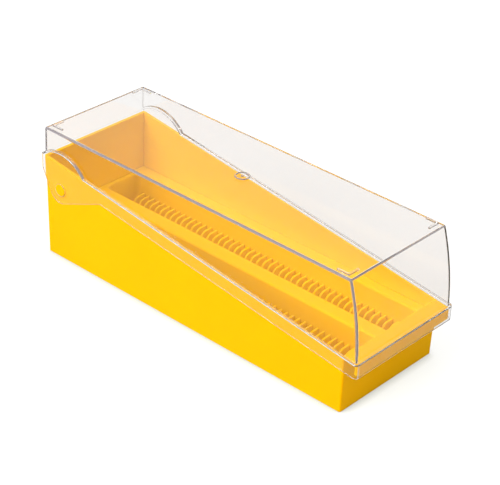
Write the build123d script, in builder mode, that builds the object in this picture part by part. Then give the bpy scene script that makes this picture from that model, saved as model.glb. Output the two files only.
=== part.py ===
"""Two-row file box for microscope slides: sloped base, drop-in rack, hinged clear lid.

Millimetres. +X runs from the hinge to the low front, +Z is up, and the origin is the middle
of the footprint of the whole box, on the surface that it stands on.
"""

import os
from math import radians, sqrt, tan

from build123d import *

os.makedirs("parts", exist_ok=True)

# --- Base shell ------------------------------------------------------------------------------
foot_length = 235.3  # outer length at the foot
foot_width = 81.6  # outer width at the foot
wall_draft = 0.8  # degrees that every wall leans
base_wall = 1.7
base_floor = 2.0
base_corner_radius = 1.2
foot_edge_radius = 0.4
rim_back_height = 67.3  # rim height above the back edge of the foot
rim_slope = 7.4  # degrees that the rim falls towards the front

# --- Front lip of the base, a plate with an apron hanging from it ----------------------------
lip_reach = 9.0  # lip's front face ahead of the foot
lip_plate = 1.6
lip_apron = 1.8
lip_drop = 6.6  # apron below the lip's top
lip_inset = 0.9  # lip's ends inside the base's side walls
lip_end_radius = 1.2

# --- Slide rack ------------------------------------------------------------------------------
slide_width = 26.0
slide_play = 1.0  # spare width of a row
divider_width = 10.6  # between the two rows
deck_height = 29.5
deck_plate = 2.0
trough_wall = 1.5
trough_floor = 1.6
trough_corner_radius = 4.0
deck_corner_radius = 0.6
deck_edge_radius = 1.4  # round the mouth of each trough
rack_gap = 0.3  # between the deck and the base's walls
ledge_back = 2.4
ledge_front = 2.6
comb_start = 5.9  # plain length of a trough behind its first tooth
comb_pitch = 4.575
comb_end_gap = 1.5  # least gap between the last tooth and the trough's front wall
tooth_thickness = 1.2
tooth_reach = 9.3
tooth_height = 13.2
tooth_corner_radius = 4.5

# --- Hinge -----------------------------------------------------------------------------------
pivot_from_back = 13.3  # ahead of the foot's back edge
pivot_height = 48.8
pin_diameter = 7.8
pin_clearance = 0.08  # radial, in the lid's ears
pin_reach = 0.2  # pin's end beyond the ear's face
pin_edge_radius = 0.7

# --- Lid -------------------------------------------------------------------------------------
lid_height = 85.8
lid_wall = 1.5
lid_draft = 0.3  # degrees that the lid's walls lean outward
lid_side_step = 0.4  # top side edges inside the base's outer faces at its highest rim
lid_back_overhang = 1.6  # top back edge behind the foot's back edge
lid_front_overhang = 0.35  # top front edge ahead of the foot's front edge
lid_front_bulge = 8.5  # front wall ahead of its top edge
lid_bulge_height = 34.0  # the front wall is upright below this
lid_edge_radius = 1.5
rim_gap = 0.2  # between the rim and the lid's step
step_plate = 1.2
skirt_gap = 0.2  # between the skirt and what it covers
skirt_wall = 1.1
skirt_depth = 9.0  # from the top of the step
skirt_corner_radius = 2.6
ear_arc_radius = 25.4
ear_tip_radius = 8.9
ear_back_reach = 1.9  # ear behind the foot's back edge
ear_back_low = 59.0  # where the ear's back edge turns towards the pivot
ear_toe = 48.0  # where the ear meets the skirt, ahead of the foot's back edge
stack_rib_length = 8.3
stack_rib_width = 1.0
stack_rib_height = 0.9
stack_rib_back_inset = 3.0  # back pair, from the top's back edge
stack_rib_back_side_inset = 4.1  # back pair, from the top's side edges
stack_rib_front_inset = 3.4  # front pair, from the top's front edge
stack_rib_front_side_inset = 2.6  # front pair, from the top's side edges
gate_radius = 4.6
gate_ring_width = 1.0
gate_height = 0.6
gate_edge_radius = 0.4
gate_nub_radius = 0.9

# --- Places worked out from the sizes above --------------------------------------------------
draft = tan(radians(wall_draft))
fall = tan(radians(rim_slope))
lid_lean = tan(radians(lid_draft))
front_overhang = lip_reach + skirt_gap + skirt_wall
foot_back = (ear_back_reach - foot_length - front_overhang) / 2
foot_front = foot_back + foot_length
foot_middle = foot_back + foot_length / 2
ear_back = foot_back - ear_back_reach
lip_front = foot_front + lip_reach
skirt_front = foot_front + front_overhang
pivot_x = foot_back + pivot_from_back


def rim_height(x: float) -> float:
    """Height of the sloped rim plane at a station along the box."""
    return rim_back_height - (x - foot_back) * fall


def base_half_width(z: float) -> float:
    """Half the outer width of the base at a height."""
    return foot_width / 2 + z * draft


def band(x_back: float, x_front: float, top: float, bottom: float) -> list[tuple[float, float]]:
    """Side-view corners of a strip that follows the rim, from one offset above it to another."""
    return [
        (x_back, rim_height(x_back) + top),
        (x_front, rim_height(x_front) + top),
        (x_front, rim_height(x_front) + bottom),
        (x_back, rim_height(x_back) + bottom),
    ]


# --- Base shell ------------------------------------------------------------------------------
wall_top = rim_height(ear_back)
front_face = foot_front + rim_height(foot_front) * draft
lip_half_width = base_half_width(rim_height(lip_front)) - lip_inset

with BuildPart() as base_shell:
    for height in (0, wall_top):
        with BuildSketch(Plane.XY.offset(height)):
            with Locations((foot_middle, 0)):
                lean = 2 * height * draft
                RectangleRounded(foot_length + lean, foot_width + lean, base_corner_radius)
    loft()
    fillet(base_shell.faces().sort_by(Axis.Z)[0].edges(), foot_edge_radius)
    for height in (base_floor, wall_top):
        with BuildSketch(Plane.XY.offset(height)):
            with Locations((foot_middle, 0)):
                lean = 2 * height * draft - 2 * base_wall
                Rectangle(foot_length + lean, foot_width + lean)
    loft(mode=Mode.SUBTRACT)
    with BuildSketch(Plane.XZ):
        Polygon(*band(ear_back, lip_front, wall_top, 0), align=None)
    extrude(amount=foot_width, both=True, mode=Mode.SUBTRACT)
    with BuildSketch(Plane.XZ):
        Polygon(*band(front_face - base_wall / 2, lip_front, 0, -lip_plate), align=None)
        Polygon(*band(lip_front - lip_apron, lip_front, 0, -lip_drop), align=None)
    extrude(amount=lip_half_width, both=True)
    lip_ends = base_shell.edges().filter_by(Axis.Z).group_by(Axis.X)[-1]
    fillet(lip_ends, lip_end_radius)
    with BuildSketch(Plane.XZ):
        with Locations((pivot_x, pivot_height)):
            Circle(pin_diameter / 2)
    extrude(amount=foot_width, both=True, mode=Mode.SUBTRACT)

base_shell.part.label = "base_shell"
export_step(base_shell.part, "parts/base_shell.step")

# --- Slide rack ------------------------------------------------------------------------------
row_width = slide_width + slide_play
row_offset = (divider_width + row_width) / 2
inner_lean = deck_height * draft - base_wall - rack_gap
deck_back = foot_back - inner_lean
deck_front = foot_front + inner_lean
trough_back = deck_back + ledge_back
trough_front = deck_front - ledge_front
trough_length = trough_front - trough_back
trough_bottom = base_floor + trough_floor
comb_room = trough_length - comb_start - tooth_thickness - comb_end_gap
comb_count = int(comb_room // comb_pitch) + 1
row_places = [((trough_back + trough_front) / 2, side * row_offset) for side in (-1, 1)]

with BuildSketch() as comb_outline:
    with Locations((-row_offset, trough_bottom), (row_offset, trough_bottom)):
        Rectangle(row_width, tooth_height, align=(Align.CENTER, Align.MIN))
        gap_width = row_width - 2 * tooth_reach
        Rectangle(gap_width, tooth_height, align=(Align.CENTER, Align.MIN), mode=Mode.SUBTRACT)
    tips = comb_outline.vertices().group_by(Axis.Y)[-1].sort_by(Axis.X)
    fillet([tips[1], tips[2], tips[5], tips[6]], tooth_corner_radius)

with BuildPart() as slide_rack:
    with BuildSketch(Plane.XY.offset(deck_height - deck_plate)):
        with Locations(((deck_back + deck_front) / 2, 0)):
            RectangleRounded(
                deck_front - deck_back,
                foot_width + 2 * inner_lean,
                deck_corner_radius,
            )
    extrude(amount=deck_plate)
    with BuildSketch(Plane.XY.offset(base_floor)):
        with Locations(*row_places):
            RectangleRounded(
                trough_length + 2 * trough_wall,
                row_width + 2 * trough_wall,
                trough_corner_radius + trough_wall,
            )
    extrude(amount=deck_height - base_floor)
    with BuildSketch(Plane.XY.offset(trough_bottom)):
        with Locations(*row_places):
            RectangleRounded(trough_length, row_width, trough_corner_radius)
    extrude(amount=deck_height - trough_bottom, mode=Mode.SUBTRACT)
    deck = slide_rack.faces().sort_by(Axis.Z)[-1]
    fillet([edge for wire in deck.inner_wires() for edge in wire.edges()], deck_edge_radius)
    for tooth in range(comb_count):
        with BuildSketch(Plane.YZ.offset(trough_back + comb_start + tooth * comb_pitch)):
            add(comb_outline.sketch)
    extrude(amount=tooth_thickness)

slide_rack.part.label = "slide_rack"
export_step(slide_rack.part, "parts/slide_rack.step")

# --- Hinge pins ------------------------------------------------------------------------------
skirt_half_width = base_half_width(wall_top) + skirt_gap + skirt_wall
pin_start = base_half_width(pivot_height) - base_wall
pin_length = skirt_half_width + pin_reach - pin_start

with BuildPart() as far_hinge_pin:
    with BuildSketch(Plane.XZ.offset(-pin_start)):
        with Locations((pivot_x, pivot_height)):
            Circle(pin_diameter / 2)
    extrude(amount=-pin_length)
    fillet(far_hinge_pin.edges().sort_by(Axis.Y)[-1], pin_edge_radius)

with BuildPart() as near_hinge_pin:
    mirror(far_hinge_pin.part, about=Plane.XZ)

far_hinge_pin.part.label = "far_hinge_pin"
near_hinge_pin.part.label = "near_hinge_pin"
export_step(far_hinge_pin.part, "parts/far_hinge_pin.step")
export_step(near_hinge_pin.part, "parts/near_hinge_pin.step")

# --- Lid -------------------------------------------------------------------------------------
lid_back = foot_back - lid_back_overhang
lid_top_front = foot_front + lid_front_overhang
lid_front = lid_top_front + lid_front_bulge
lid_top_width = 2 * (base_half_width(wall_top) - lid_side_step)
bulge_rise = lid_height - lid_bulge_height
bulge_radius = (bulge_rise**2 + lid_front_bulge**2) / (2 * lid_front_bulge)
step_under = rim_gap
step_over = rim_gap + step_plate
ear_clear_radius = ear_arc_radius - step_plate


def shell_space(inset: float) -> Part:
    """Solid inside the lid's walls, inset from their outer faces, open at the bottom."""
    top = lid_height - inset
    lean = lid_height * lid_lean
    half_top = lid_top_width / 2 - inset
    brow_run = sqrt((bulge_radius - inset) ** 2 - (bulge_rise - inset) ** 2)
    brow_x = lid_front - bulge_radius + brow_run
    with BuildPart() as space:
        with BuildSketch(Plane.XZ):
            with BuildLine():
                Polyline(
                    (brow_x, top),
                    (lid_back + inset, top),
                    (lid_back + inset - lean, 0),
                    (lid_front - inset, 0),
                    (lid_front - inset, lid_bulge_height),
                )
                TangentArc((lid_front - inset, lid_bulge_height), (brow_x, top), tangent=(0, 1))
            make_face()
        extrude(amount=lid_top_width, both=True)
        with BuildSketch(Plane.YZ):
            Polygon(
                (-half_top, top),
                (half_top, top),
                (half_top + lean, 0),
                (-half_top - lean, 0),
                align=None,
            )
        extrude(amount=2 * foot_length, both=True, mode=Mode.INTERSECT)
    return space.part


def skirt_outline(inset: float) -> Sketch:
    """Plan of the skirt: round corners at the front, open past the ears at the back."""
    with BuildSketch() as outline:
        with Locations((skirt_front - inset, 0)):
            RectangleRounded(
                2 * foot_length,
                2 * (skirt_half_width - inset),
                skirt_corner_radius - inset,
                align=(Align.MAX, Align.CENTER),
            )
    return outline.sketch


with BuildPart() as step_ring:
    with BuildSketch(Plane.XZ):
        with Locations((pivot_x, pivot_height)):
            Circle(ear_arc_radius)
        Polygon(*band(pivot_x, skirt_front, step_over, step_under), align=None)
        with Locations((pivot_x, pivot_height)):
            Circle(ear_clear_radius, mode=Mode.SUBTRACT)
        above_rim = band(ear_back, skirt_front, lid_height, step_under)
        Polygon(*above_rim, align=None, mode=Mode.INTERSECT)
    extrude(amount=lid_height, both=True)
    with BuildSketch():
        add(skirt_outline(0))
        with Locations((lid_front - lid_wall, 0)):
            Rectangle(
                2 * foot_length,
                lid_top_width - lid_wall,
                align=(Align.MAX, Align.CENTER),
                mode=Mode.SUBTRACT,
            )
    extrude(amount=lid_height, mode=Mode.INTERSECT)

with BuildPart() as skirt:
    with BuildSketch(Plane.XZ):
        with Locations((pivot_x, pivot_height)):
            Circle(ear_tip_radius)
        toe = foot_back + ear_toe
        Polygon(
            (ear_back, ear_back_low),
            (ear_back, lid_height),
            (toe, lid_height),
            (toe, rim_height(toe) + step_over - skirt_depth),
            align=None,
        )
        make_hull()
        Polygon(*band(pivot_x, skirt_front, step_over, step_over - skirt_depth), align=None)
        with BuildSketch(Plane.XZ, mode=Mode.PRIVATE) as roof:
            with Locations((pivot_x, pivot_height)):
                Circle(ear_arc_radius)
            Polygon(*band(pivot_x, skirt_front, step_over, -lid_height), align=None)
        add(roof.sketch_local, mode=Mode.INTERSECT)
    extrude(amount=lid_height, both=True)
    with BuildSketch():
        add(skirt_outline(0))
        add(skirt_outline(skirt_wall), mode=Mode.SUBTRACT)
    extrude(amount=lid_height, mode=Mode.INTERSECT)

with BuildPart() as lid:
    add(shell_space(0))
    upper_edges = lid.edges().group_by(Axis.Z)[1:]
    fillet([edge for level in upper_edges for edge in level], lid_edge_radius)
    with BuildSketch(Plane.XZ):
        Polygon(*band(lid_back - ear_arc_radius, skirt_front, step_under, -lid_height), align=None)
        with Locations((pivot_x, pivot_height)):
            Circle(ear_clear_radius)
    extrude(amount=lid_height, both=True, mode=Mode.SUBTRACT)
    add(step_ring.part)
    add(skirt.part)
    add(shell_space(lid_wall), mode=Mode.SUBTRACT)
    with BuildSketch(Plane.XZ):
        with Locations((pivot_x, pivot_height)):
            Circle(pin_diameter / 2 + pin_clearance)
    extrude(amount=lid_height, both=True, mode=Mode.SUBTRACT)
    with BuildSketch(Plane.XY.offset(lid_height)):
        back_rib = lid_back + stack_rib_back_inset
        front_rib = lid_top_front - stack_rib_front_inset
        back_pair = (back_rib, 1, stack_rib_back_side_inset)
        front_pair = (front_rib, -1, stack_rib_front_side_inset)
        for end, way, side_inset in (back_pair, front_pair):
            for side in (-1, 1):
                corner = side * (lid_top_width / 2 - side_inset)
                with Locations((end + way * stack_rib_length / 2, corner - side * stack_rib_width / 2)):
                    Rectangle(stack_rib_length, stack_rib_width)
                with Locations((end + way * stack_rib_width / 2, corner - side * stack_rib_length / 2)):
                    Rectangle(stack_rib_width, stack_rib_length)
    extrude(amount=stack_rib_height)
    with BuildSketch(Plane.XY.offset(lid_height)):
        with Locations(((lid_back + lid_front) / 2, 0)):
            Circle(gate_radius)
            Circle(gate_radius - gate_ring_width, mode=Mode.SUBTRACT)
            Circle(gate_nub_radius)
    extrude(amount=gate_height)
    gate_rims = lid.edges().group_by(Axis.Z)[-2]
    fillet(gate_rims, gate_edge_radius)

lid.part.label = "lid"
export_step(lid.part, "parts/lid.step")
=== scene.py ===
"""Slide file box in yellow and clear moulded polystyrene, dressed over its CAD frame.

The base, the rack and the two hinge pins are one yellow plastic with a satin mould texture.
The lid is a polished crystal-clear moulding that shows them through its walls. Lengths are in
metres unless a name ends in _mm.
"""

import logging
import math
from dataclasses import dataclass, field
from enum import Enum
from typing import Any

import bpy
from mathutils import Matrix, Vector


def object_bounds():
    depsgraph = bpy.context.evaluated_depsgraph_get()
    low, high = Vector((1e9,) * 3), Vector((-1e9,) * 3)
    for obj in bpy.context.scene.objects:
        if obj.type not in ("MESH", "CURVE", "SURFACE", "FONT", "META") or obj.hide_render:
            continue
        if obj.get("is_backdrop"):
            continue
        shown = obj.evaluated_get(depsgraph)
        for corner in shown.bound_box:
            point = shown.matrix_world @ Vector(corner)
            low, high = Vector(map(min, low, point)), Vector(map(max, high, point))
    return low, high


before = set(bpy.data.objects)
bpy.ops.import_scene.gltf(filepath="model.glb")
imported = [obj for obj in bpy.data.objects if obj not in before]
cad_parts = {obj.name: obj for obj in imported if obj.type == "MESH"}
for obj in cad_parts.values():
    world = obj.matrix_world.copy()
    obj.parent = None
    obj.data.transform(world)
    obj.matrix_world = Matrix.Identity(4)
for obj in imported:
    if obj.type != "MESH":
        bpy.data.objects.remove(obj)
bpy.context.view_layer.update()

log = logging.getLogger("slide_box")

MM = 0.001


def linear(hex_colour: str) -> tuple[float, float, float, float]:
    """Turns an sRGB hex colour into the linear values that shaders take.

    Args:
        hex_colour: Six hex digits, such as "FFC800".

    Returns:
        Linear red, green and blue, then an alpha of 1.
    """
    values = []
    for start in (0, 2, 4):
        share = int(hex_colour[start : start + 2], 16) / 255
        values.append(share / 12.92 if share <= 0.04045 else ((share + 0.055) / 1.055) ** 2.4)
    return (values[0], values[1], values[2], 1.0)


def per_metre(size_mm: float) -> float:
    """Gives the texture scale for a pattern of this size in millimetres."""
    return 1.0 / (size_mm * MM)


def way_to(azimuth: float, elevation: float) -> Vector:
    """Gives the direction from the box to a lamp or the camera.

    Args:
        azimuth: Degrees round the box, 0 on the near side and 90 at the low front end.
        elevation: Degrees above the floor.

    Returns:
        Unit vector that points away from the box.
    """
    turn, tilt = math.radians(azimuth), math.radians(elevation)
    return Vector(
        (
            math.sin(turn) * math.cos(tilt),
            -math.cos(turn) * math.cos(tilt),
            math.sin(tilt),
        )
    )


def add_node(
    tree: bpy.types.NodeTree,
    kind: str,
    values: dict[str | int, Any] | None = None,
    links: dict[str | int, bpy.types.NodeSocket] | None = None,
    **settings: Any,
) -> bpy.types.Node:
    """Adds one node with its settings, socket values and incoming links.

    Args:
        tree: Node tree that gets the node.
        kind: Blender's name for the node type.
        values: Input socket to the constant that it holds.
        links: Input socket to the output socket that feeds it.
        **settings: Properties of the node itself.

    Returns:
        The new node.
    """
    node = tree.nodes.new(kind)
    for name, value in settings.items():
        setattr(node, name, value)
    for socket, value in (values or {}).items():
        node.inputs[socket].default_value = value
    for socket, source in (links or {}).items():
        tree.links.new(source, node.inputs[socket])
    return node


def empty_material(name: str) -> bpy.types.Material:
    """Makes a material with an empty node tree."""
    material = bpy.data.materials.new(name)
    material.use_nodes = True
    material.node_tree.nodes.clear()
    return material


def dress(node_name: str, material: bpy.types.Material) -> None:
    """Puts a material in every slot of a CAD node."""
    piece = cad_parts[node_name]
    if not piece.material_slots:
        piece.data.materials.append(material)
    for slot in piece.material_slots:
        slot.material = material
    log.info("%s wears %s", node_name, material.name)


class MouldTexture(Enum):
    """Surface that the mould's steel leaves, as the roughness that it gives the plastic."""

    POLISHED = 0.0
    SATIN = 0.34


@dataclass(frozen=True)
class YellowPolystyrene:
    """High-impact polystyrene, injection moulded in a textured tool.

    Rubber in the resin clouds it, so light that goes in comes back out a little deeper in hue.
    The tool's fine grain gives it a satin sheen, and flow leaves it very slightly uneven.
    Its rounded edges are a lighter yellow, part edge wear and part painted highlight.
    """

    name: str = "yellow_impact_polystyrene"
    colour: str = "F9B700"
    deep_colour: str = "F9B100"
    worn_highlight_colour: str = "F9C91E"
    painted_bounce_colour: str = "F4EE60"
    texture: MouldTexture = MouldTexture.SATIN
    roughness_spread: float = 0.05
    ior: float = 1.59
    specular_level: float = 0.06
    mirror_tint: str = "FFCC10"
    depth_mm: float = 3.0
    # Blue light goes much less deep into the pigment than red and green.
    depth_by_channel: tuple[float, float, float] = (1.0, 1.0, 0.15)
    glow: float = 0.4
    edge_radius_mm: float = 0.35
    edge_samples: int = 6
    # Cosine between the flat and the rounded normal, where the lighter edge colour starts and
    # is complete. It is part edge wear, part painted highlight.
    worn_highlight_starts: float = 0.98
    worn_highlight_complete: float = 0.8
    worn_highlight_share: float = 0.06
    # Real spark grain is about 0.1 mm across; 0.6 mm is the finest that still shows.
    grain_mm: float = 0.6
    grain_depth_mm: float = 0.0022
    peel_mm: float = 3.5
    peel_depth_mm: float = 0.004
    cloud_mm: float = 28.0

    def build(self) -> bpy.types.Material:
        """Makes the material.

        Returns:
            A material for the yellow mouldings.
        """
        material = empty_material(self.name)
        tree = material.node_tree
        place = add_node(tree, "ShaderNodeTexCoord").outputs["Object"]
        cloud = add_node(
            tree,
            "ShaderNodeTexNoise",
            {"Scale": per_metre(self.cloud_mm), "Detail": 2.0, "Roughness": 0.5},
            {"Vector": place},
        )
        peel = add_node(
            tree,
            "ShaderNodeTexNoise",
            {"Scale": per_metre(self.peel_mm), "Detail": 1.0},
            {"Vector": place},
        )
        grain = add_node(
            tree,
            "ShaderNodeTexNoise",
            {"Scale": per_metre(self.grain_mm), "Detail": 2.0},
            {"Vector": place},
        )
        flat = add_node(tree, "ShaderNodeNewGeometry")
        edge = add_node(
            tree,
            "ShaderNodeBevel",
            {"Radius": self.edge_radius_mm * MM},
            samples=self.edge_samples,
        )
        agree = add_node(
            tree,
            "ShaderNodeVectorMath",
            links={0: flat.outputs["Normal"], 1: edge.outputs["Normal"]},
            operation="DOT_PRODUCT",
        )
        # Lighter yellow on the rounded edges: part edge wear, part painted highlight.
        worn_highlight = add_node(
            tree,
            "ShaderNodeMapRange",
            {
                "From Min": self.worn_highlight_starts,
                "From Max": self.worn_highlight_complete,
                "To Max": self.worn_highlight_share,
            },
            {"Value": agree.outputs["Value"]},
        )
        hue = add_node(
            tree,
            "ShaderNodeMix",
            {6: linear(self.colour), 7: linear(self.deep_colour)},
            {0: cloud.outputs["Fac"]},
            data_type="RGBA",
        )
        with_worn_highlight = add_node(
            tree,
            "ShaderNodeMix",
            {7: linear(self.worn_highlight_colour)},
            {0: worn_highlight.outputs["Result"], 6: hue.outputs[2]},
            data_type="RGBA",
        )
        # Painted bounce light: light that bounces off these walls takes a paler yellow than
        # the eye sees, which lightens the shade between the walls and makes it less orange.
        path = add_node(tree, "ShaderNodeLightPath")
        shown = add_node(
            tree,
            "ShaderNodeMix",
            {7: linear(self.painted_bounce_colour)},
            {0: path.outputs["Is Diffuse Ray"], 6: with_worn_highlight.outputs[2]},
            data_type="RGBA",
        )
        sheen = add_node(
            tree,
            "ShaderNodeMapRange",
            {
                "To Min": self.texture.value - self.roughness_spread,
                "To Max": self.texture.value + self.roughness_spread,
            },
            {"Value": peel.outputs["Fac"]},
        )
        waves = add_node(
            tree,
            "ShaderNodeBump",
            {"Strength": 1.0, "Distance": self.peel_depth_mm * MM},
            {"Height": peel.outputs["Fac"], "Normal": edge.outputs["Normal"]},
        )
        grained = add_node(
            tree,
            "ShaderNodeBump",
            {"Strength": 1.0, "Distance": self.grain_depth_mm * MM},
            {"Height": grain.outputs["Fac"], "Normal": waves.outputs["Normal"]},
        )
        shader = add_node(
            tree,
            "ShaderNodeBsdfPrincipled",
            {
                "IOR": self.ior,
                "Specular IOR Level": self.specular_level,
                "Specular Tint": linear(self.mirror_tint),
                "Subsurface Weight": self.glow,
                "Subsurface Radius": self.depth_by_channel,
                "Subsurface Scale": self.depth_mm * MM,
            },
            {
                "Base Color": shown.outputs[2],
                "Roughness": sheen.outputs["Result"],
                "Normal": grained.outputs["Normal"],
            },
        )
        add_node(
            tree, "ShaderNodeOutputMaterial", links={"Surface": shader.outputs["BSDF"]}
        )
        return material


@dataclass(frozen=True)
class RoundedEdge:
    """Kind of edge on the lid, told by two of the lid's own directions that it faces at once.

    Attributes:
        first: One of the two directions.
        second: The other one.
        starts: Product of the normal's two shares where the painted shade starts.
        complete: Product where it is complete.
        only_above_step: Leaves out the edges on the lid's step and below it.
    """

    first: str
    second: str
    starts: float
    complete: float
    only_above_step: bool = False


@dataclass(frozen=True)
class CrystalPolystyrene:
    """General-purpose polystyrene, injection moulded in a polished tool.

    It is water-clear and takes a mirror gloss. Light that runs along a wall comes out at its
    edges, a little grey; that grey is painted shade here, a matt grey band on the rounded
    edges. The melt's flow leaves faint waves that bend what is seen through the walls.
    """

    name: str = "clear_crystal_polystyrene"
    colour: str = "FDFCFB"
    inner_colour: str = "C8C4C4"
    absorption_per_metre: float = 8.0
    shadow_colour: str = "FDFCFB"
    texture: MouldTexture = MouldTexture.POLISHED
    ior: float = 1.59
    mirror_tint: str = "909090"
    edge_radius_mm: float = 0.1
    edge_samples: int = 4
    painted_edge_shade_colour: str = "8F898D"
    painted_edge_shade: float = 0.7
    edge_shade_reach_mm: float = 0.5
    edge_shade_samples: int = 6
    # Edges that get the painted shade. The front wall leans back towards its top, so its edges
    # there start from more. The upright corners below the step get none.
    rounded_edges: tuple[RoundedEdge, ...] = (
        RoundedEdge("Y", "Z", 0.15, 0.3),
        RoundedEdge("X", "Y", 0.2, 0.35, only_above_step=True),
        RoundedEdge("X", "Z", 0.38, 0.45),
    )
    step_slope: float = 7.4
    step_height_mm: float = 54.5
    wave_mm: float = 14.0
    wave_depth_mm: float = 0.004
    scuff_mm: float = 1.2
    # Level of the scuffs' pattern where they start and where they are complete.
    scuff_starts: float = 0.55
    scuff_complete: float = 0.8
    scuff_roughness: float = 0.03

    def build(self) -> bpy.types.Material:
        """Makes the material.

        Returns:
            A material for the clear lid.
        """
        material = empty_material(self.name)
        tree = material.node_tree
        place = add_node(tree, "ShaderNodeTexCoord").outputs["Object"]
        wave = add_node(
            tree,
            "ShaderNodeTexNoise",
            {"Scale": per_metre(self.wave_mm), "Detail": 1.0},
            {"Vector": place},
        )
        scuff = add_node(
            tree,
            "ShaderNodeTexNoise",
            {"Scale": per_metre(self.scuff_mm), "Detail": 3.0, "Roughness": 0.6},
            {"Vector": place},
        )
        dull = add_node(
            tree,
            "ShaderNodeMapRange",
            {
                "From Min": self.scuff_starts,
                "From Max": self.scuff_complete,
                "To Min": self.texture.value,
                "To Max": self.scuff_roughness,
            },
            {"Value": scuff.outputs["Fac"]},
        )
        edge = add_node(
            tree,
            "ShaderNodeBevel",
            {"Radius": self.edge_radius_mm * MM},
            samples=self.edge_samples,
        )
        flow = add_node(
            tree,
            "ShaderNodeBump",
            {"Strength": 1.0, "Distance": self.wave_depth_mm * MM},
            {"Height": wave.outputs["Fac"], "Normal": edge.outputs["Normal"]},
        )
        edge_shade_share = self.painted_edge_shade_share(tree, place)
        shader = add_node(
            tree,
            "ShaderNodeBsdfPrincipled",
            {
                "Base Color": linear(self.colour),
                "IOR": self.ior,
                "Specular Tint": linear(self.mirror_tint),
                "Transmission Weight": 1.0,
            },
            {
                "Normal": flow.outputs["Normal"],
                "Roughness": dull.outputs["Result"],
            },
        )
        # Painted shade: a matt grey band on the rounded edges.
        edge_shade = add_node(
            tree, "ShaderNodeBsdfDiffuse", {"Color": linear(self.painted_edge_shade_colour)}
        )
        with_edge_shade = add_node(
            tree,
            "ShaderNodeMixShader",
            links={0: edge_shade_share, 1: shader.outputs["BSDF"], 2: edge_shade.outputs["BSDF"]},
        )
        # A solid glass shader stops light on its way to a matt surface, from a lamp or from
        # another matt surface. A real thin wall passes nearly all of it, and unbent.
        lit_through = add_node(
            tree, "ShaderNodeBsdfTransparent", {"Color": linear(self.shadow_colour)}
        )
        path = add_node(tree, "ShaderNodeLightPath")
        lighting = add_node(
            tree,
            "ShaderNodeMath",
            links={0: path.outputs["Is Shadow Ray"], 1: path.outputs["Is Diffuse Ray"]},
            operation="MAXIMUM",
        )
        surface = add_node(
            tree,
            "ShaderNodeMixShader",
            links={
                0: lighting.outputs["Value"],
                1: with_edge_shade.outputs["Shader"],
                2: lit_through.outputs["BSDF"],
            },
        )
        body = add_node(
            tree,
            "ShaderNodeVolumeAbsorption",
            {"Color": linear(self.inner_colour), "Density": self.absorption_per_metre},
        )
        add_node(
            tree,
            "ShaderNodeOutputMaterial",
            links={"Surface": surface.outputs["Shader"], "Volume": body.outputs["Volume"]},
        )
        return material

    def painted_edge_shade_share(
        self, tree: bpy.types.NodeTree, place: bpy.types.NodeSocket
    ) -> bpy.types.NodeSocket:
        """Finds the painted shade on the rounded edges.

        An edge faces two of the lid's own directions at once, and a wall only one.

        Args:
            tree: Node tree that gets the nodes.
            place: Position in the lid's own frame.

        Returns:
            Share of painted shade at the point.
        """
        near = add_node(
            tree,
            "ShaderNodeBevel",
            {"Radius": self.edge_shade_reach_mm * MM},
            samples=self.edge_shade_samples,
        )
        own = add_node(
            tree,
            "ShaderNodeVectorTransform",
            links={"Vector": near.outputs["Normal"]},
            vector_type="NORMAL",
            convert_from="WORLD",
            convert_to="OBJECT",
        )
        size = add_node(
            tree,
            "ShaderNodeVectorMath",
            links={0: own.outputs["Vector"]},
            operation="ABSOLUTE",
        )
        facing = add_node(tree, "ShaderNodeSeparateXYZ", links={0: size.outputs["Vector"]})
        height = add_node(
            tree,
            "ShaderNodeVectorMath",
            {1: (math.tan(math.radians(self.step_slope)), 0.0, 1.0)},
            {0: place},
            operation="DOT_PRODUCT",
        )
        above = add_node(
            tree,
            "ShaderNodeMath",
            {1: self.step_height_mm * MM},
            {0: height.outputs["Value"]},
            operation="GREATER_THAN",
        )
        most = None
        for edge in self.rounded_edges:
            both = add_node(
                tree,
                "ShaderNodeMath",
                links={0: facing.outputs[edge.first], 1: facing.outputs[edge.second]},
                operation="MULTIPLY",
            )
            share = add_node(
                tree,
                "ShaderNodeMapRange",
                {
                    "From Min": edge.starts,
                    "From Max": edge.complete,
                    "To Max": self.painted_edge_shade,
                },
                {"Value": both.outputs["Value"]},
            ).outputs["Result"]
            if edge.only_above_step:
                share = add_node(
                    tree,
                    "ShaderNodeMath",
                    links={0: share, 1: above.outputs["Value"]},
                    operation="MULTIPLY",
                ).outputs["Value"]
            if most is not None:
                share = add_node(
                    tree, "ShaderNodeMath", links={0: most, 1: share}, operation="MAXIMUM"
                ).outputs["Value"]
            most = share
        return most


@dataclass
class SlideBase:
    """Yellow base with the rack that stands in it and the pins that carry the lid."""

    nodes: tuple[str, ...] = ("base_shell", "slide_rack", "near_hinge_pin", "far_hinge_pin")
    finish: YellowPolystyrene = field(default_factory=YellowPolystyrene)

    def build(self) -> None:
        """Dresses each yellow moulding."""
        material = self.finish.build()
        for node in self.nodes:
            dress(node, material)


@dataclass
class ClearLid:
    """Hinged clear lid."""

    node: str = "lid"
    finish: CrystalPolystyrene = field(default_factory=CrystalPolystyrene)

    def build(self) -> None:
        """Dresses the lid."""
        dress(self.node, self.finish.build())


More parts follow.
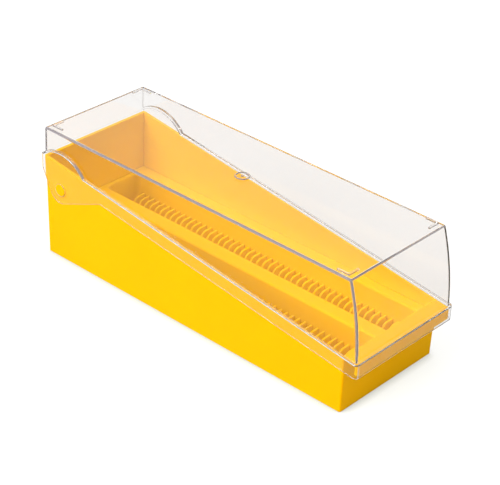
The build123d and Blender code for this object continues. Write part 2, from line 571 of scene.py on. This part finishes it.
@dataclass(frozen=True)
class Softbox:
    """Square lamp with a diffuser, aimed at the middle of the box.

    Attributes:
        azimuth: Degrees round the box, 0 on the near side and 90 at the low front end.
        elevation: Degrees above the floor.
        distance: Metres from the middle of the box.
        side: Edge of the lamp in metres.
        level: Brightness of a white card held square to the lamp at the box.
    """

    name: str
    azimuth: float
    elevation: float
    distance: float
    side: float
    level: float

    def build(self, aim: Vector) -> bpy.types.Object:
        """Makes the lamp.

        Args:
            aim: Point that the lamp faces.

        Returns:
            The lamp's object.
        """
        away = way_to(self.azimuth, self.elevation)
        light = bpy.data.lights.new(self.name, "AREA")
        light.size = self.side
        light.energy = self.level * (math.pi * self.distance) ** 2
        lamp = bpy.data.objects.new(self.name, light)
        lamp.location = aim + away * self.distance
        lamp.rotation_mode = "QUATERNION"
        lamp.rotation_quaternion = (-away).to_track_quat("-Z", "Y")
        bpy.context.scene.collection.objects.link(lamp)
        return lamp


@dataclass
class Studio:
    """White sheet, soft light and the camera.

    Attributes:
        floor_colour: Colour of the sheet as a source of light on the box.
        floor_seen_colour: Its colour to the eye, under the white that it shows by itself.
        floor_mirrored_colour: Its colour in a gloss.
        floor_lift: White that the sheet shows by itself, away from the box.
        white_through_lid: Share of that white that is seen through the clear walls.
        contact_reach_mm: Width of the painted shadow, a dark strip round the foot.
        contact_dark: Share of the white that is left where the strip is darkest.
        contact_open: Openness to the light where the strip is darkest and where it ends.
        light_side: Direction that the painted shadow takes its light from.
        sky_level: Light on the box from the height of the horizon.
        zenith_level: Light on the box from straight above.
        room_level: Brightness of the room away from the backdrop, seen through the lid.
        mirror_level: Brightness of the room in a gloss.
        backdrop_azimuth: Degrees round the box to the middle of the white backdrop.
        backdrop_edge: Cosine to that middle where the room ends and where the white starts.
        light_bounces: Most bounces of light in clear plastic.
        matt_bounces: Most bounces of light between matt walls.
        aim_from_middle: From the middle of the box's foot to the picture's middle.
    """

    floor_side: float = 12.0
    floor_colour: str = "D2CCC4"
    floor_seen_colour: str = "8C8C8C"
    floor_mirrored_colour: str = "5A5A5A"
    floor_lift: float = 0.75
    white_through_lid: float = 0.84
    contact_reach_mm: float = 9.0
    contact_dark: float = 0.3
    contact_open: tuple[float, float] = (0.2, 0.85)
    contact_samples: int = 8
    light_side: tuple[float, float, float] = (-0.6, -0.45, 0.66)
    sky_level: float = 0.18
    zenith_level: float = 1.32
    room_level: float = 0.85
    mirror_level: float = 0.6
    backdrop_azimuth: float = 221.0
    backdrop_edge: tuple[float, float] = (-0.2, 0.5)
    light_bounces: int = 64
    matt_bounces: int = 16
    lamps: tuple[Softbox, ...] = (
        Softbox("key_softbox", -20.0, 38.0, 2.6, 1.6, 0.86),
        Softbox("top_softbox", 30.0, 78.0, 2.8, 2.0, 0.15),
        Softbox("fill_softbox", 105.0, 25.0, 2.6, 1.6, 0.03),
    )
    azimuth: float = 40.917
    elevation: float = 30.999
    roll: float = 2.825
    distance: float = 0.982624
    lens_mm: float = 120.49
    sensor_mm: float = 36.0
    clip: tuple[float, float] = (0.01, 50.0)
    aim_from_middle: tuple[float, float, float] = (0.002173, 0.006300, 0.04)

    def build(self) -> None:
        """Builds the world, the floor, the lamps and the camera."""
        low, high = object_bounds()
        middle = Vector(((low.x + high.x) / 2, (low.y + high.y) / 2, low.z))
        self.build_sky()
        self.build_floor(low.z)
        for lamp in self.lamps:
            lamp.build(middle)
        self.build_camera(middle + Vector(self.aim_from_middle))
        scene = bpy.context.scene
        scene.view_settings.view_transform = "Standard"
        # Light that enters the lid's edges is mirrored along its walls many times.
        scene.cycles.max_bounces = self.light_bounces
        scene.cycles.diffuse_bounces = self.matt_bounces
        scene.cycles.transmission_bounces = self.light_bounces
        scene.cycles.glossy_bounces = self.light_bounces
        scene.cycles.transparent_max_bounces = self.light_bounces

    def seen_directly(
        self, tree: bpy.types.NodeTree
    ) -> tuple[bpy.types.NodeSocket, bpy.types.NodeSocket]:
        """Tells which rays reach the camera without a matt surface on the way.

        Args:
            tree: Node tree that gets the nodes.

        Returns:
            The share of white to show to rays that come straight or through the lid, then 1
            for these and for mirrored ones.
        """
        path = add_node(tree, "ShaderNodeLightPath")
        straight = add_node(
            tree,
            "ShaderNodeMath",
            {1: self.white_through_lid},
            {0: path.outputs["Is Transmission Ray"], 2: path.outputs["Is Camera Ray"]},
            operation="MULTIPLY_ADD",
        )
        either = add_node(
            tree,
            "ShaderNodeMath",
            links={0: path.outputs["Is Camera Ray"], 1: path.outputs["Is Glossy Ray"]},
            operation="MAXIMUM",
        )
        every = add_node(
            tree,
            "ShaderNodeMath",
            links={0: either.outputs["Value"], 1: path.outputs["Is Transmission Ray"]},
            operation="MAXIMUM",
        )
        return straight.outputs["Value"], every.outputs["Value"]

    def seen_mirrored(self, tree: bpy.types.NodeTree) -> bpy.types.NodeSocket:
        """Tells which rays a gloss sends back, as light through the lid is glossy too.

        Args:
            tree: Node tree that gets the nodes.

        Returns:
            1 for mirrored rays and 0 for others.
        """
        path = add_node(tree, "ShaderNodeLightPath")
        mirrored = add_node(
            tree,
            "ShaderNodeMath",
            links={0: path.outputs["Is Glossy Ray"], 1: path.outputs["Is Reflection Ray"]},
            operation="MULTIPLY",
        )
        return mirrored.outputs["Value"]

    def build_sky(self) -> None:
        """Makes a surround that looks white, with a dimmer room before a white backdrop."""
        world = bpy.data.worlds.new("white_surround")
        world.use_nodes = True
        bpy.context.scene.world = world
        tree = world.node_tree
        tree.nodes.clear()
        direction = add_node(tree, "ShaderNodeTexCoord").outputs["Generated"]
        turn = math.radians(self.backdrop_azimuth)
        towards = add_node(
            tree,
            "ShaderNodeVectorMath",
            {1: (math.sin(turn), -math.cos(turn), 0.0)},
            {0: direction},
            operation="DOT_PRODUCT",
        )
        path = add_node(tree, "ShaderNodeLightPath")
        through = add_node(
            tree,
            "ShaderNodeMapRange",
            {
                "From Min": self.backdrop_edge[0],
                "From Max": self.backdrop_edge[1],
                "To Min": self.room_level,
            },
            {"Value": towards.outputs["Value"]},
        )
        mirrored = add_node(
            tree,
            "ShaderNodeMix",
            {3: self.mirror_level},
            {0: self.seen_mirrored(tree), 2: through.outputs["Result"]},
            data_type="FLOAT",
        )
        height = add_node(tree, "ShaderNodeSeparateXYZ", links={"Vector": direction})
        overhead = add_node(
            tree,
            "ShaderNodeMapRange",
            {"To Min": self.sky_level, "To Max": self.zenith_level},
            {"Value": height.outputs["Z"]},
        )
        indirect = add_node(
            tree,
            "ShaderNodeMix",
            links={
                0: self.seen_directly(tree)[1],
                2: overhead.outputs["Result"],
                3: mirrored.outputs[0],
            },
            data_type="FLOAT",
        )
        level = add_node(
            tree,
            "ShaderNodeMix",
            {3: 1.0},
            {0: path.outputs["Is Camera Ray"], 2: indirect.outputs[0]},
            data_type="FLOAT",
        )
        sky = add_node(
            tree,
            "ShaderNodeBackground",
            {"Color": (1.0, 1.0, 1.0, 1.0)},
            {"Strength": level.outputs[0]},
        )
        add_node(tree, "ShaderNodeOutputWorld", links={"Surface": sky.outputs["Background"]})

    def build_floor(self, height: float) -> None:
        """Lays a matt white sheet that shows white, with the box's shadow and a painted one.

        Args:
            height: Height of the sheet.
        """
        half = self.floor_side / 2
        mesh = bpy.data.meshes.new("white_sheet")
        corners = [(-half, -half), (half, -half), (half, half), (-half, half)]
        mesh.from_pydata([(x, y, height) for x, y in corners], [], [(0, 1, 2, 3)])
        sheet = bpy.data.objects.new("white_sheet", mesh)
        bpy.context.scene.collection.objects.link(sheet)
        material = empty_material("matt_white_paper")
        tree = material.node_tree
        straight, seen = self.seen_directly(tree)
        # Painted shadow: the white that the sheet shows by itself is darkened in a narrow
        # strip round the box's foot, most where the paper is least open towards light_side.
        open_air = add_node(
            tree,
            "ShaderNodeAmbientOcclusion",
            {
                "Distance": self.contact_reach_mm * MM,
                "Normal": Vector(self.light_side).normalized(),
            },
            samples=self.contact_samples,
        )
        lift_with_painted_shadow = add_node(
            tree,
            "ShaderNodeMapRange",
            {
                "From Min": self.contact_open[0],
                "From Max": self.contact_open[1],
                "To Min": self.contact_dark * self.floor_lift,
                "To Max": self.floor_lift,
            },
            {"Value": open_air.outputs["AO"]},
        )
        lift = add_node(
            tree,
            "ShaderNodeMath",
            links={0: straight, 1: lift_with_painted_shadow.outputs["Result"]},
            operation="MULTIPLY",
        )
        shade = add_node(
            tree,
            "ShaderNodeMix",
            {6: linear(self.floor_colour), 7: linear(self.floor_seen_colour)},
            {0: seen},
            data_type="RGBA",
        )
        mirrored = add_node(
            tree,
            "ShaderNodeMix",
            {7: linear(self.floor_mirrored_colour)},
            {0: self.seen_mirrored(tree), 6: shade.outputs[2]},
            data_type="RGBA",
        )
        paper = add_node(
            tree,
            "ShaderNodeBsdfPrincipled",
            {
                "Roughness": 1.0,
                "Specular IOR Level": 0.0,
                "Emission Color": (1.0, 1.0, 1.0, 1.0),
            },
            {"Base Color": mirrored.outputs[2], "Emission Strength": lift.outputs["Value"]},
        )
        add_node(tree, "ShaderNodeOutputMaterial", links={"Surface": paper.outputs["BSDF"]})
        mesh.materials.append(material)
        sheet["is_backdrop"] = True

    def build_camera(self, aim: Vector) -> None:
        """Places the camera on its circle round the aim point.

        Args:
            aim: Point at the middle of the picture.
        """
        back = way_to(self.azimuth, self.elevation)
        right = (-back).cross(Vector((0.0, 0.0, 1.0))).normalized()
        up = right.cross(-back)
        roll = math.radians(self.roll)
        rolled_right = math.cos(roll) * right + math.sin(roll) * up
        rolled_up = math.cos(roll) * up - math.sin(roll) * right
        data = bpy.data.cameras.new("camera")
        data.lens = self.lens_mm
        data.sensor_width = self.sensor_mm
        data.clip_start, data.clip_end = self.clip
        camera = bpy.data.objects.new("camera", data)
        turned = Matrix((rolled_right, rolled_up, back)).transposed().to_4x4()
        camera.matrix_world = Matrix.Translation(aim + back * self.distance) @ turned
        bpy.context.scene.collection.objects.link(camera)
        bpy.context.scene.camera = camera


def main() -> None:
    """Dresses the box and builds the studio round it."""
    logging.basicConfig(level=logging.INFO, format="%(name)s: %(message)s")
    SlideBase().build()
    ClearLid().build()
    Studio().build()


if __name__ == "__main__":
    main()
